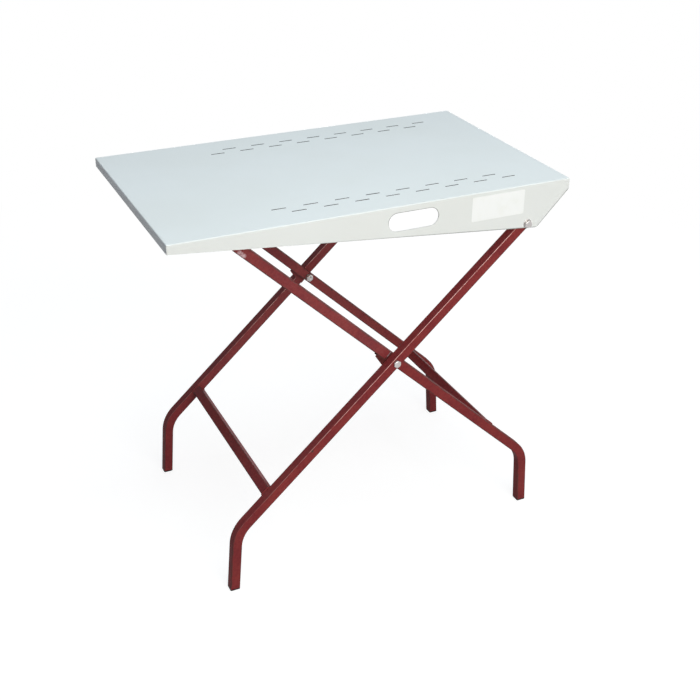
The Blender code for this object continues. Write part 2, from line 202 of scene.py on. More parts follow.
class Graph:
    """The node tree of one new material or world."""

    def __init__(self, owner: Owner) -> None:
        """Clears the tree down to its output.

        Args:
            owner: The material or world.
        """
        owner.use_nodes = True
        self.owner = owner
        self.tree = owner.node_tree
        self.tree.nodes.clear()
        kind = "World" if isinstance(owner, bpy.types.World) else "Material"
        self.output = self.node(f"ShaderNodeOutput{kind}", {}, {})

    @classmethod
    def of_material(cls, name: str) -> "Graph":
        """The graph of a new material."""
        return cls(bpy.data.materials.new(name))

    def node(self, kind: str, settings: dict[str, Any], inputs: dict[int | str, Input]) -> bpy.types.Node:
        """Adds a node of any kind.

        Args:
            kind: Blender's name of the node type.
            settings: Attributes to set first.
            inputs: Values or links, by socket name or number; a node stands for its first output.

        Returns:
            The new node.
        """
        node = self.tree.nodes.new(kind)
        for name, setting in settings.items():
            setattr(node, name, setting)
        for key, value in inputs.items():
            if isinstance(value, Value):
                value = value.socket
            elif isinstance(value, bpy.types.Node):
                value = value.outputs[0]
            if isinstance(value, bpy.types.NodeSocket):
                self.tree.links.new(value, node.inputs[key])
            else:
                node.inputs[key].default_value = value
        return node

    def _vector(self, operation: str, *parts: Input) -> bpy.types.Node:
        """Adds one Vector Math node."""
        return self.node("ShaderNodeVectorMath", {"operation": operation}, dict(enumerate(parts)))

    def _length(self, vector: Input) -> Value:
        """The length of a vector."""
        return Value(self, self._vector("LENGTH", vector).outputs["Value"])

    def _split(self, vector: Input) -> tuple[Value, Value, Value]:
        """The three parts of a vector as numbers."""
        parts = self.node("ShaderNodeSeparateXYZ", {}, {0: vector})
        return tuple(Value(self, part) for part in parts.outputs)

    @cached_property
    def _where(self) -> bpy.types.Node:
        """The node that gives a surface point's place and normal."""
        return self.node("ShaderNodeTexCoord", {}, {})

    @property
    def place(self) -> bpy.types.NodeSocket:
        """Object coordinates, which on every piece are metres in the table's own frame."""
        return self._where.outputs["Object"]

    def axes(self) -> tuple[Value, Value, Value]:
        """The three object coordinates as numbers."""
        return self._split(self.place)

    def facing(self) -> tuple[Value, Value, Value]:
        """The three parts of the normal in the piece's own frame, which a moved joint doesn't change."""
        return self._split(self._where.outputs["Normal"])

    def attribute(self, name: str) -> Value:
        """A number that the mesh carries under a name."""
        return Value(self, self.node("ShaderNodeAttribute", {"attribute_name": name}, {}).outputs["Fac"])

    def noise(
        self, size: float, detail: float = 2.0, stretch: Point = (1, 1, 1), turn: float = 0.0
    ) -> Value:
        """Soft noise.

        Args:
            size: Size of its main features.
            detail: Octaves of finer noise.
            stretch: How much longer the features are along each axis.
            turn: Turn about Y before the stretch, in radians.

        Returns:
            A number from 0 to 1.
        """
        turned = {"Vector": self.place, "Rotation": (0, turn, 0)}
        where = self.node("ShaderNodeMapping", {"vector_type": "POINT"}, turned)
        spread = self._vector("MULTIPLY", where, tuple(1.0 / size / factor for factor in stretch))
        inputs = {"Vector": spread, "Scale": 1.0, "Detail": detail, "Roughness": 0.55}
        return Value(self, self.node("ShaderNodeTexNoise", {}, inputs).outputs[0])

    def cells(self, size: float) -> Value:
        """Distance to the nearest of scattered points, as a share of their usual distance."""
        inputs = {"Vector": self.place, "Scale": 1.0 / size}
        return Value(self, self.node("ShaderNodeTexVoronoi", {}, inputs).outputs["Distance"])

    def distance(self, centre: Point, reach: Point) -> Value:
        """Distance from a point, where a length of reach along each axis counts as 1."""
        shift = self._vector("SUBTRACT", self.place, centre)
        return self._length(self._vector("MULTIPLY", shift, tuple(1.0 / length for length in reach)))

    def span(self, first: Value, second: Value) -> Value:
        """Length of a step that has two parts at right angles."""
        return self._length(self.node("ShaderNodeCombineXYZ", {}, {0: first, 1: second}))

    def mix(self, share: Number, first: Input, second: Input) -> bpy.types.NodeSocket:
        """Blends two colours by the share of the second."""
        a, b = ((*end, 1.0) if isinstance(end, tuple) else end for end in (first, second))
        return self.node("ShaderNodeMix", {"data_type": "RGBA"}, {0: share, 6: a, 7: b}).outputs[2]

    def bump(self, height: Value, depth: float, strength: float) -> bpy.types.Node:
        """Turns a height into a normal; depth is what a height of 1 stands for."""
        return self.node("ShaderNodeBump", {}, {"Height": height, "Distance": depth, "Strength": strength})

    def show(self, shader: bpy.types.Node) -> None:
        """Links a shader to the output."""
        self.tree.links.new(shader.outputs[0], self.output.inputs["Surface"])

    def principled(self, inputs: dict[int | str, Input]) -> bpy.types.Material:
        """Ends the graph in a Principled shader and returns the finished material."""
        self.show(self.node("ShaderNodeBsdfPrincipled", {}, inputs))
        return self.owner


@dataclass(frozen=True)
class WhiteEnamel:
    """Baked white enamel on the folded sheet: fine peel, wiped streaks and chips, with painted shade on
    folds, hole rims, hems and slot walls.
    """

    surface: float
    name: str = "white_enamel"
    colour: Colour = (0.800, 0.808, 0.800)
    aged: Colour = (0.780, 0.786, 0.770)
    # Darker grey of chips and scratches, also used as painted shade along the folded edges.
    blemish_and_painted_light: Colour = (0.56, 0.57, 0.56)
    # Painted shade: a dark outline along the hand-hole rims and the skirts' lower edges.
    rim_shade: Colour = (0.24, 0.24, 0.235)
    # Near-black painted shade on the slot walls.
    slot_shade: Colour = (0.030, 0.031, 0.032)
    half_length: float = 0.500
    half_width: float = 0.300
    skirt_start: Pair = (0.295, 0.296)
    slot_field: Pair = (0.470, 0.270)
    slot_fade: float = 0.010
    slot_levels: Pair = (-0.0022, -0.0014)
    fold_width: Pair = (-0.0032, -0.0006)
    fold_levels: Pair = (-0.0045, -0.0008)
    grip_place: Pair = (0.079, 0.038)
    grip_half: float = 0.042
    grip_radius: float = 0.022
    grip_rim: Pair = (0.0018, 0.0007)
    free_drop: float = 0.022
    heel: Pair = (0.4155, 0.1125)
    pivot_drop: float = 0.025
    hem_width: Pair = (0.0026, 0.0010)
    hem_growth: Pair = (-0.35, 0.25)
    cloud: float = 0.30
    smear: float = 0.06
    fleck: float = 0.011
    peel: float = 0.0022
    peel_depth: float = 0.00012
    scratch: float = 0.0016
    scratch_patch: float = 0.09

    def material(self) -> bpy.types.Material:
        """Builds the finish.

        Returns:
            The material.
        """
        graph = Graph.of_material(self.name)
        x, y, z = graph.axes()
        level = z - self.surface
        clouds = graph.noise(self.cloud, 3.0)
        streaks = graph.noise(self.smear, 3.0, (3.5, 1.0, 1.0))
        grain = graph.noise(self.peel)
        flecks = graph.noise(self.fleck, 4.0)
        scratches = graph.noise(self.scratch, 1.0, (60.0, 1.0, 1.0), 0.04).ramp(0.74, 0.80)
        scratches = scratches * graph.noise(self.scratch_patch).ramp(0.52, 0.64)
        scratches = scratches * level.ramp(-0.002, 0.0)
        overhang = (abs(x) - self.half_length).larger(abs(y) - self.half_width)
        fold = overhang.ramp(*self.fold_width) * level.ramp(*self.fold_levels)
        chips = (fold * flecks.ramp(0.66, 0.72)).larger(scratches * 0.25)
        long, wide = self.slot_field
        # Painted shade: the slot walls, which lie in shadow inside the slots, go near black.
        walls = abs(graph.facing()[2]).ramp(0.7, 0.3) * level.ramp(*self.slot_levels)
        walls = walls * abs(x).ramp(long, long - self.slot_fade)
        walls = walls * abs(y).ramp(wide, wide - self.slot_fade)
        # Painted shade: dark outlines round the hand-hole, strongest at its upper edge, and along the
        # skirts' lower edges.
        rim = self._grip_rim_shade(graph, x, level).larger(self._hem_shade(x, level))
        rim = rim * abs(y).ramp(*self.skirt_start)
        tone = graph.mix(clouds.ramp(0.35, 0.75), self.colour, self.aged)
        # Chips are wear; the fold share is painted shade that darkens the folded edges.
        tone = graph.mix(chips * 0.6 + fold * 0.22, tone, self.blemish_and_painted_light)
        # Painted shade of the rims and hems.
        tone = graph.mix(rim * (0.55 + flecks * 0.5), tone, self.rim_shade)
        # Painted shade on the slot walls.
        tone = graph.mix(walls, tone, self.slot_shade)
        return graph.principled(
            {
                "Base Color": tone,
                "Roughness": 0.40 + streaks * 0.16 + chips * 0.15,
                "Specular IOR Level": 0.15,
                "Normal": graph.bump(grain * 0.7 + flecks * 0.3 - chips * 0.6, self.peel_depth, 0.35),
            }
        )

    def _grip_rim_shade(self, graph: Graph, x: Value, level: Value) -> Value:
        """How much painted shade the rim of a hand-hole carries, most at its upper edge.

        Args:
            graph: The finish's graph.
            x: Place along the table.
            level: Height above the work surface.

        Returns:
            The painted shade, from 0 to 1.
        """
        shift, drop = self.grip_place
        above = level + drop
        grip = graph.span((abs(x - shift) - self.grip_half).larger(0.0), above)
        rim = grip.ramp(*(self.grip_radius + width for width in self.grip_rim))
        return rim * (0.15 + 0.85 * above.ramp(-0.012, 0.004))

    def _hem_shade(self, x: Value, level: Value) -> Value:
        """How much painted shade lies along a skirt's two lower edges, which meet at the heel.

        Args:
            x: Place along the table.
            level: Height above the work surface.

        Returns:
            The painted shade, from 0 to 1.
        """
        heel_x, heel_drop = self.heel
        fall = (heel_drop - self.free_drop) / (heel_x + self.half_length)
        lower = level + self.free_drop + (x + self.half_length) * fall
        run, rise = self.half_length - heel_x, heel_drop - self.pivot_drop
        length = math.hypot(run, rise)
        end = (level + heel_drop) * (run / length) - (x - heel_x) * (rise / length)
        return lower.smaller(end).ramp(*self.hem_width) * x.ramp(*self.hem_growth)


@dataclass(frozen=True)
class GlintSpot:
    """A spot where the red enamel carries a painted highlight."""

    centre: Point
    reach: Point
    share: float


@dataclass(frozen=True)
class RedEnamel:
    """Glossy dark red enamel on the tubes: uneven coat, peel, dust and chips to the undercoat, with
    painted highlights, sheen, bounce light and corner shade.
    """

    # Spots of painted highlight.
    spot_marks: tuple[GlintSpot, ...]
    name: str = "red_enamel"
    colour: Colour = (0.262, 0.040, 0.038)
    thick: Colour = (0.185, 0.024, 0.029)
    # Pale pink of the painted highlight along the tubes' upper corners.
    highlight_pink: Colour = (0.86, 0.40, 0.37)
    # Pale pink of dust, also used for painted highlight spots, painted sheen and painted bounce light.
    blemish_and_painted_light: Colour = (0.74, 0.56, 0.60)
    # Dark undercoat of the chips, also used as painted shade on the corners without highlight.
    primer_and_edge_shade: Colour = (0.085, 0.048, 0.042)
    gloss: float = 0.12
    patch: float = 0.075
    fleck: float = 0.0065
    peel: float = 0.0026
    peel_depth: float = 0.00016
    dust_grain: float = 0.012
    chip_pitch: float = 0.034
    chip_patch: float = 0.13
    # Size of the noise that breaks up the painted highlight spots.
    glint_grain: float = 0.0035
    # Size of the patches that break up the painted corner highlight and shade.
    corner_light_patch: float = 0.020
    # Painted bounce light: where on the rear legs the enamel is paled, by depth and height.
    bounce_depth: Pair = (0.15, 0.26)
    bounce_height: Pair = (0.12, 0.36)
    # Half-width within which faces that look up and towards +X get a painted sheen.
    between_legs: Pair = (0.243, 0.225)
    # Heights over which the painted corner highlight grows to full strength.
    line_height: Pair = (0.20, 0.60)

    def material(self) -> bpy.types.Material:
        """Builds the finish.

        Returns:
            The material.
        """
        graph = Graph.of_material(self.name)
        _, depth, height = graph.axes()
        along, across, up = graph.facing()
        coat = graph.noise(self.patch, 4.0)
        grain = graph.noise(self.peel)
        flecks = graph.noise(self.fleck, 4.0)
        dust = graph.noise(self.dust_grain, 4.0).ramp(0.40, 0.75) * up.ramp(0.25, 0.95)
        # Painted bounce light: the rear legs, from 0.12 m up, turn slightly paler.
        painted_bounce = depth.ramp(*self.bounce_depth) * height.ramp(*self.bounce_height)
        # Painted sheen: faces that look up and towards +X, between the leg pairs, turn paler.
        painted_sheen = along.ramp(0.2, 0.6) * up.ramp(0.2, 0.6) * abs(depth).ramp(*self.between_legs)
        chips = graph.cells(self.chip_pitch).ramp(0.115, 0.075) * flecks.ramp(0.42, 0.50)
        chips = chips * graph.noise(self.chip_patch).ramp(0.52, 0.62)
        # Corner faces broken into patches; they carry painted highlight or painted shade.
        corner = graph.attribute(CORNER) * graph.noise(self.corner_light_patch, 5.0).ramp(0.25, 0.62)
        # Painted highlight on corners that look up, to the front or back, and towards -X; the coat is
        # glossier there too.
        corner_highlight = corner * up.ramp(0.14, 0.36) * abs(across).ramp(0.48, 0.72) * along.ramp(0.10, -0.10)
        # The painted highlight grows stronger with height.
        line = corner_highlight * (0.12 + 0.88 * height.ramp(*self.line_height))
        glint_grain_mask = graph.noise(self.glint_grain, 4.0).ramp(0.15, 0.70)
        # Spots of painted highlight, broken up by noise.
        spots = [
            graph.distance(glint.centre, glint.reach).ramp(1.0, 0.25) * glint_grain_mask * glint.share
            for glint in self.spot_marks
        ]
        glints = reduce(Value.larger, spots)
        mottle = coat.ramp(0.35, 0.72) * 0.55 + flecks.ramp(0.36, 0.66) * 0.45
        tone = graph.mix(mottle, self.colour, self.thick)
        # Dust is real; the bounce and sheen shares are painted light.
        tone = graph.mix(dust * 0.015 + painted_bounce * 0.03 + painted_sheen * 0.11, tone, self.blemish_and_painted_light)
        # Painted highlight along those corners.
        tone = graph.mix(line * 0.95, tone, self.highlight_pink)
        # Painted shade on the corners that get no highlight.
        tone = graph.mix((corner - corner_highlight) * 0.7, tone, self.primer_and_edge_shade)
        # Painted highlight spots.
        tone = graph.mix(glints, tone, self.blemish_and_painted_light)
        tone = graph.mix(chips, tone, self.primer_and_edge_shade)
        return graph.principled(
            {
                "Base Color": tone,
                "Roughness": 0.20 + coat * 0.08 + dust * 0.12 + chips * 0.30 + glints * 0.25,
                "Specular IOR Level": 0.0,
                "Coat Weight": self.gloss + line * 0.75,
                "Coat Roughness": 0.16,
                "Normal": graph.bump(grain * 0.8 + flecks * 0.2 - chips * 0.8, self.peel_depth, 0.40),
            }
        )


@dataclass(frozen=True)
class ZincPlate:
    """Zinc plating on the fasteners: grey with a warm bloom, fine scratches and dull spots."""

    name: str = "zinc_plate"
    colour: Colour = (0.55, 0.525, 0.52)
    bloom: Colour = (0.50, 0.455, 0.43)
    dull: Colour = (0.26, 0.24, 0.24)
    bloom_size: float = 0.007
    spot_size: float = 0.0016
    scratch: float = 0.0005
    scratch_depth: float = 0.00005

    def material(self) -> bpy.types.Material:
        """Builds the finish.

        Returns:
            The material.
        """
        graph = Graph.of_material(self.name)
        bloom = graph.noise(self.bloom_size, 3.0).ramp(0.42, 0.70)
        spots = graph.noise(self.spot_size, 4.0).ramp(0.60, 0.72)
        scratches = graph.noise(self.scratch, 1.0, (14.0, 1.0, 1.0), 0.6)
        tone = graph.mix(bloom * 0.8, self.colour, self.bloom)
        return graph.principled(
            {
                "Base Color": graph.mix(spots * 0.6, tone, self.dull),
                "Metallic": 1.0,
                "Roughness": 0.30 + bloom * 0.10 + spots * 0.22,
                "Normal": graph.bump(scratches * 0.6 + spots * 0.4, self.scratch_depth, 0.30),
            }
        )


@dataclass(frozen=True)
class MouldedPlastic:
    """Moulded plastic with a fine spark-eroded grain and scuffed high spots."""

    name: str
    colour: Colour
    scuffed: Colour
    roughness: float
    grain: float = 0.0006
    grain_depth: float = 0.00006
    scuff_size: float = 0.006

    def material(self) -> bpy.types.Material:
        """Builds the finish.

        Returns:
            The material.
        """
        graph = Graph.of_material(self.name)
        spot_marks = graph.noise(self.scuff_size, 4.0).ramp(0.55, 0.75)
        return graph.principled(
            {
                "Base Color": graph.mix(spot_marks * 0.6, self.colour, self.scuffed),
                "Roughness": self.roughness + spot_marks * 0.15,
                "Specular IOR Level": 0.15,
                "Normal": graph.bump(graph.noise(self.grain, 3.0), self.grain_depth, 0.35),
            }
        )


@dataclass(frozen=True)
class BlankVinyl:
    """Plain white vinyl of the unprinted label, slightly yellowed in patches."""

    name: str = "blank_vinyl"
    colour: Colour = (0.93, 0.93, 0.93)
    aged: Colour = (0.90, 0.90, 0.885)
    patch: float = 0.03
    ripple: float = 0.010
    ripple_depth: float = 0.00008

    def material(self) -> bpy.types.Material:
        """Builds the finish.

        Returns:
            The material.
        """
        graph = Graph.of_material(self.name)
        bloom = graph.noise(self.patch, 4.0).ramp(0.45, 0.75)
        return graph.principled(
            {
                "Base Color": graph.mix(bloom, self.colour, self.aged),
                "Roughness": 0.30 + bloom * 0.14,
                "Normal": graph.bump(graph.noise(self.ripple), self.ripple_depth, 0.25),
            }
        )


class Bench:
    """Edit-mode modelling as by hand, on one object at a time."""

    @staticmethod
    def pick(obj: bpy.types.Object) -> None:
        """Makes an object the only selected one.

        Args:
            obj: The object.
        """
        bpy.ops.object.select_all(action="DESELECT")
        obj.select_set(True)
        bpy.context.view_layer.objects.active = obj

    @staticmethod
    @contextmanager
    def editing(obj: bpy.types.Object, mode: str = "FACE", start: str = "DESELECT") -> Iterator[None]:
        """Edit mode on one object.

        Args:
            obj: The object to edit.
            mode: Selection mode: VERT, EDGE or FACE.
            start: DESELECT to start with nothing selected, or SELECT with everything.
        """
        Bench.pick(obj)
        bpy.ops.object.mode_set(mode="EDIT")
        bpy.ops.mesh.select_mode(type=mode)
        bpy.ops.mesh.select_all(action=start)
        yield
        bpy.ops.object.mode_set(mode="OBJECT")

    @staticmethod
    def select_faces(obj: bpy.types.Object, wanted: Callable[[bmesh.types.BMFace], bool]) -> None:
        """Selects faces in edit mode by a test of their place or normal.

        Args:
            obj: The object in edit mode.
            wanted: Says which faces to select.
        """
        edited = bmesh.from_edit_mesh(obj.data)
        for face in edited.faces:
            face.select = wanted(face)
        edited.select_flush_mode()
        bmesh.update_edit_mesh(obj.data)

    @staticmethod
    def selected(obj: bpy.types.Object) -> list[bmesh.types.BMFace]:
        """The selected faces of an object in edit mode."""
        return [face for face in bmesh.from_edit_mesh(obj.data).faces if face.select]

    @staticmethod
    def extrude(move: Sequence[float], scale: float | None = None) -> None:
        """Extrudes the selected faces.

        Args:
            move: How far the new faces move.
            scale: Their new size across Z, as a share, or None to keep it.
        """
        bpy.ops.mesh.extrude_region_move(TRANSFORM_OT_translate={"value": move})
        if scale is not None:
            bpy.ops.transform.resize(value=(scale, scale, 1.0))

    @staticmethod
    def face_outwards() -> None:
        """Turns every face of the edited object outwards."""
        bpy.ops.mesh.select_all(action="SELECT")
        bpy.ops.mesh.normals_make_consistent(inside=False)

    @staticmethod
    def cylinder(vertices: int, radius: float, depth: float, middle: float = 0.0) -> bpy.types.Object:
        """A new upright cylinder on the Z axis, with its middle at a height."""
        bpy.ops.mesh.primitive_cylinder_add(
            vertices=vertices, radius=radius, depth=depth, location=(0, 0, middle)
        )
        return Bench.settle(bpy.context.object)

    @staticmethod
    def apply_modifier(obj: bpy.types.Object, kind: str, **settings: Any) -> None:
        """Adds one modifier and applies it.

        Args:
            obj: The object.
            kind: Blender's name of the modifier type.
            settings: The modifier's attributes.
        """
        Bench.pick(obj)
        modifier = obj.modifiers.new(kind.lower(), kind)
        for name, setting in settings.items():
            setattr(modifier, name, setting)
        bpy.ops.object.modifier_apply(modifier=modifier.name)

    @staticmethod
    def combine(obj: bpy.types.Object, tool: bpy.types.Object, operation: str) -> None:
        """Joins, cuts or intersects an object with a tool, which is then removed."""
        Bench.apply_modifier(obj, "BOOLEAN", operation=operation, object=tool, solver="EXACT")
        bpy.data.objects.remove(tool)

    @staticmethod
    def smooth(obj: bpy.types.Object, angle: float = 40.0) -> None:
        """Shades rounded faces smooth while flat faces stay flat.

        Args:
            obj: The object.
            angle: Edges sharper than this stay sharp, in degrees.
        """
        Bench.pick(obj)
        bpy.ops.object.shade_smooth_by_angle(angle=math.radians(angle))
        Bench.apply_modifier(obj, "WEIGHTED_NORMAL", mode="FACE_AREA", weight=80, keep_sharp=True)

    @staticmethod
    def break_edges(obj: bpy.types.Object, width: float, segments: int = 2, sharp: float = 50.0) -> None:
        """Rounds every edge of an object that is sharper than an angle in degrees."""
        settings = {"limit_method": "ANGLE", "angle_limit": math.radians(sharp)}
        Bench.apply_modifier(obj, "BEVEL", width=width, segments=segments, **settings)

    @staticmethod
    def settle(obj: bpy.types.Object, place: Matrix | None = None) -> bpy.types.Object:
        """Moves an object and puts the move into its mesh.

        Args:
            obj: The object.
            place: Where it goes, or None to keep its place.

        Returns:
            The object, at the origin, unturned and unscaled.
        """
        Bench.pick(obj)
        if place is not None:
            obj.matrix_world = place @ obj.matrix_world
        bpy.ops.object.transform_apply(location=True, rotation=True, scale=True)
        return obj

    @staticmethod
    def copy(obj: bpy.types.Object, name: str, place: Matrix | None = None) -> bpy.types.Object:
        """Copies an object with a mesh of its own.

        Args:
            obj: The object to copy.
            name: The copy's name.
            place: Where the copy goes, in its mesh.

        Returns:
            The copy.
        """
        twin = bpy.data.objects.new(name, obj.data.copy())
        bpy.context.scene.collection.objects.link(twin)
        twin.data.materials.clear()
        return Bench.settle(twin, place)

    @staticmethod
    def merged(node: str, name: str) -> bpy.types.Object:
        """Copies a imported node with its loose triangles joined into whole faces.

        Args:
            node: The node's name.
            name: The copy's name.

        Returns:
            The copy.
        """
        piece = Bench.copy(FRAME["nodes"][node], name)
        with Bench.editing(piece, "VERT", "SELECT"):
            bpy.ops.mesh.remove_doubles(threshold=MERGE_DISTANCE)
            bpy.ops.mesh.dissolve_limited(angle_limit=FLAT_ANGLE)
        return piece

    @staticmethod
    def mark_corners(obj: bpy.types.Object, width: float = 0.0016, slender: float = 4.0) -> None:
        """Marks the narrow faces of rounded edges, where the red enamel paints highlight and shade.

        Args:
            obj: The object.
            width: Faces narrower than this are marked.
            slender: They are also longer than this many such widths.
        """
        mark = obj.data.attributes.new(CORNER, "FLOAT", "FACE")
        points = obj.data.vertices
        for face, entry in zip(obj.data.polygons, mark.data):
            corners = [points[index].co for index in face.vertices]
            longest = max((a - b).length for a, b in zip(corners, corners[1:] + corners[:1]))
            entry.value = float(face.area / longest < width < longest / slender)


class Dresser:
    """Gives each finished piece its body and finish, and logs it."""

    def __init__(self, finishes: dict[Coat, bpy.types.Material], slots: dict[Coat, str]) -> None:
        """Keeps the finished materials and the record's slots for them at hand."""
        self.finishes = finishes
        self.slots = slots

    def dress(self, piece: bpy.types.Object, body: Body, coat: Coat, nodes: Sequence[str] = ()) -> None:
        """Finishes one piece.

        Args:
            piece: The piece, with its place in its mesh.
            body: The body that it rides on.
            coat: Its finish.
            nodes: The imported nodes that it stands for.
        """
        piece.data.materials.clear()
        piece.data.materials.append(self.finishes[coat])
        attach(piece, body.value)
        if nodes:
            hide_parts(*nodes)
        LOG.info("%s rides on %s, finished in %s", piece.name, body.value, coat.value)

    def reskin(self, node: str, body: Body, coat: Coat, bevel: float = 0.0) -> None:
        """Stands a merged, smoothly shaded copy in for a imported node.

        Args:
            node: The node's name.
            body: The body that it rides on.
            coat: Its finish.
            bevel: Width of the broken edges, or 0 for none.
        """
        piece = Bench.merged(node, f"{node}_skin")
        if bevel:
            Bench.break_edges(piece, bevel)
        if coat is Coat.RED:
            Bench.mark_corners(piece)
        Bench.smooth(piece)
        self.dress(piece, body, coat, [node])


@dataclass
class TopTray:
    """The folded top with its rails, spot welds and blank label."""

    surface: float
    rail_flange: float = 0.012
    rail_sheet: float = 0.0012
    spot_pitch: float = 0.0760
    spot_count: int = 12
    spot_radius: float = 0.0032
    spot_height: float = 0.00035
    spot_sink: float = 0.00005
    spot_rim: float = 0.0009
    spot_slope: float = 0.0008
    spot_dish: float = 0.0002
    label_ends: Pair = (0.232, 0.374)
    label_drops: Pair = (0.070, 0.010)
    label_corner: float = 0.003
    label_gap: float = 0.00002
    label_thickness: float = 0.0002

    def build(self, dresser: Dresser) -> None:
        """Makes and dresses every piece of the top.

        Args:
            dresser: Finishes the pieces.
        """
        dresser.reskin("table_top", Body.TOP, Coat.WHITE)
        for side in Side:
            rail = f"top_rail_{side.word}"
            dresser.reskin(rail, Body.TOP, Coat.WHITE)
            dresser.dress(self._spot_welds(rail, side), Body.TOP, Coat.WHITE)
        dresser.dress(self._label(), Body.TOP, Coat.LABEL)

    def _spot_weld(self) -> bpy.types.Object:
        """One shallow dimple below zero.

        Returns:
            The dimple.
        """
        bpy.ops.mesh.primitive_circle_add(vertices=14, radius=self.spot_radius, fill_type="NGON")
        spot = bpy.context.object
        with Bench.editing(spot, start="SELECT"):
            Bench.extrude((0, 0, -self.spot_height))
            bpy.ops.mesh.inset(thickness=self.spot_rim, depth=0)
            bpy.ops.mesh.inset(thickness=self.spot_slope, depth=-self.spot_dish)
            Bench.face_outwards()
        return spot

    def _spot_welds(self, rail: str, side: Side) -> bpy.types.Object:
        """Two rows of spot welds under the flanges of one rail.

        Args:
            rail: The rail's node.
            side: Front or rear rail.

        Returns:
            The welds as one piece.
        """
        low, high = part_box(rail)
        underside = high.z - self.rail_sheet + self.spot_sink
        middle = (low.y + high.y) / 2
        arm = (high.y - low.y) / 2 - self.rail_flange / 2
        spot = self._spot_weld()
        spots = []
        for row in (-1, 1):
            for number in range(self.spot_count):
                x = (number - (self.spot_count - 1) / 2) * self.spot_pitch
                place = Matrix.Translation((x, middle + row * arm, underside))
                spots.append(Bench.copy(spot, f"spot_{row}_{number}", place))
        bpy.data.objects.remove(spot)
        Bench.pick(spots[0])
        for other in spots[1:]:
            other.select_set(True)
        bpy.ops.object.join()
        spots[0].name = f"rail_spot_welds_{side.word}"
        Bench.smooth(spots[0])
        return spots[0]

    def _label(self) -> bpy.types.Object:
        """The plain label on the front skirt, with rounded corners.

        Returns:
            The label.
        """
        left, right = self.label_ends
        low, high = (self.surface - drop for drop in self.label_drops)
        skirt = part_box("table_top")[0].y
        centre = ((left + right) / 2, skirt - self.label_gap, (low + high) / 2)
        bpy.ops.mesh.primitive_plane_add(size=1.0, location=centre, rotation=(math.pi / 2, 0, 0))
        label = bpy.context.object
        label.name = "blank_label"
        label.scale = (right - left, high - low, 1.0)
        Bench.settle(label)
        with Bench.editing(label, "VERT", "SELECT"):
            bpy.ops.mesh.bevel(offset=self.label_corner, segments=4, affect="VERTICES")
            bpy.ops.mesh.select_all(action="SELECT")
            Bench.extrude((0, -self.label_thickness, 0))
            Bench.face_outwards()
        Bench.smooth(label)
        return label


@dataclass
class LegPair:
    """One pair of scissor legs with its bars, welds and plugs."""

    prefix: str
    body: Body
    lean: float
    square_bars: tuple[str, ...]
    round_bars: tuple[str, ...] = ()
    tube: float = 0.025
    corner: float = 0.0025
    bead: float = 0.0021
    bead_inset: float = 0.0003
    ripple: float = 0.0024
    ripple_height: float = 0.0014
    bead_shading: float = 75.0
    # Scale and rise of each step of the grooved sole.
    tread: tuple[Pair, ...] = ((0.76, 0.0), (0.94, 0.0012), (0.66, 0.0), (0.90, -0.0012))
    foot_edge: float = 0.0003
    plug_edge: float = 0.0004

    def build(self, dresser: Dresser) -> None:
        """Makes and dresses every piece of the pair.

        Args:
            dresser: Finishes the pieces.
        """
        for bar in (*self.square_bars, *self.round_bars):
            dresser.reskin(bar, self.body, Coat.RED)
            for side in Side:
                dresser.dress(self._weld(bar, side), self.body, Coat.RED)
        for side in Side:
            dresser.reskin(f"{self.prefix}_leg_{side.word}", self.body, Coat.RED)
            foot = f"{self.prefix}_foot_{side.word}"
            dresser.dress(self._foot(foot), self.body, Coat.PLUG, [foot])
            dresser.reskin(f"{self.prefix}_end_plug_{side.word}", self.body, Coat.PLUG, self.plug_edge)

    def _outline(self, bar: str, width: float) -> bpy.types.Object:
        """The outline of a bar's section, in the plane of X and Y.

        Args:
            bar: The bar's node.
            width: Width of a round bar.

        Returns:
            A closed ring of edges.
        """
        if bar in self.round_bars:
            bpy.ops.mesh.primitive_circle_add(vertices=72, radius=width / 2)
            return bpy.context.object
        bpy.ops.mesh.primitive_plane_add(size=self.tube)
        ring = bpy.context.object
        with Bench.editing(ring, "VERT", "SELECT"):
            bpy.ops.mesh.bevel(offset=self.corner, segments=4, affect="VERTICES")
            bpy.ops.mesh.delete(type="ONLY_FACE")
            bpy.ops.mesh.select_all(action="SELECT")
            bpy.ops.mesh.subdivide(number_cuts=15)
        return ring

    def _weld(self, bar: str, side: Side) -> bpy.types.Object:
        """A rippled fillet of weld around one end of a bar.

        Args:
            bar: The bar's node.
            side: Which end.

        Returns:
            The weld bead.
        """
        low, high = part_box(bar)
        middle = (low + high) / 2
        end = Vector((middle.x, side.value * (high.y - self.bead_inset), middle.z))
        ring = self._outline(bar, high.x - low.x)
        ring.name = f"{bar}_weld_{side.word}"
        Bench.pick(ring)
        bpy.ops.object.convert(target="CURVE")
        ring.data.bevel_depth = self.bead
        ring.data.bevel_resolution = 3
        bpy.ops.object.convert(target="MESH")
        turn = Matrix.Rotation(self.lean, 4, "Y") @ Matrix.Rotation(math.pi / 2, 4, "X")
        Bench.settle(ring, Matrix.Translation(end) @ turn)
        clouds = bpy.data.textures.new(f"{ring.name}_ripple", "CLOUDS")
        clouds.noise_scale = self.ripple
        settings = {"texture": clouds, "mid_level": 0.55, "texture_coords": "LOCAL"}
        Bench.apply_modifier(ring, "DISPLACE", strength=self.ripple_height, **settings)
        with Bench.editing(ring, "VERT", "SELECT"):
            bpy.ops.mesh.remove_doubles(threshold=MERGE_DISTANCE)
            bpy.ops.mesh.normals_make_consistent(inside=False)
        Bench.smooth(ring, self.bead_shading)
        return ring

    def _foot(self, node: str) -> bpy.types.Object:
        """A moulded foot plug with broken edges and a grooved sole.

        Args:
            node: The plug's node.

        Returns:
            The plug.
        """
        plug = Bench.merged(node, f"{node}_moulded")
        with Bench.editing(plug):
            Bench.select_faces(plug, lambda face: face.normal.z < -LEVEL)
            for scale, rise in self.tread:
                Bench.extrude((0, 0, rise), scale)
        Bench.break_edges(plug, self.foot_edge)
        Bench.smooth(plug)
        return plug


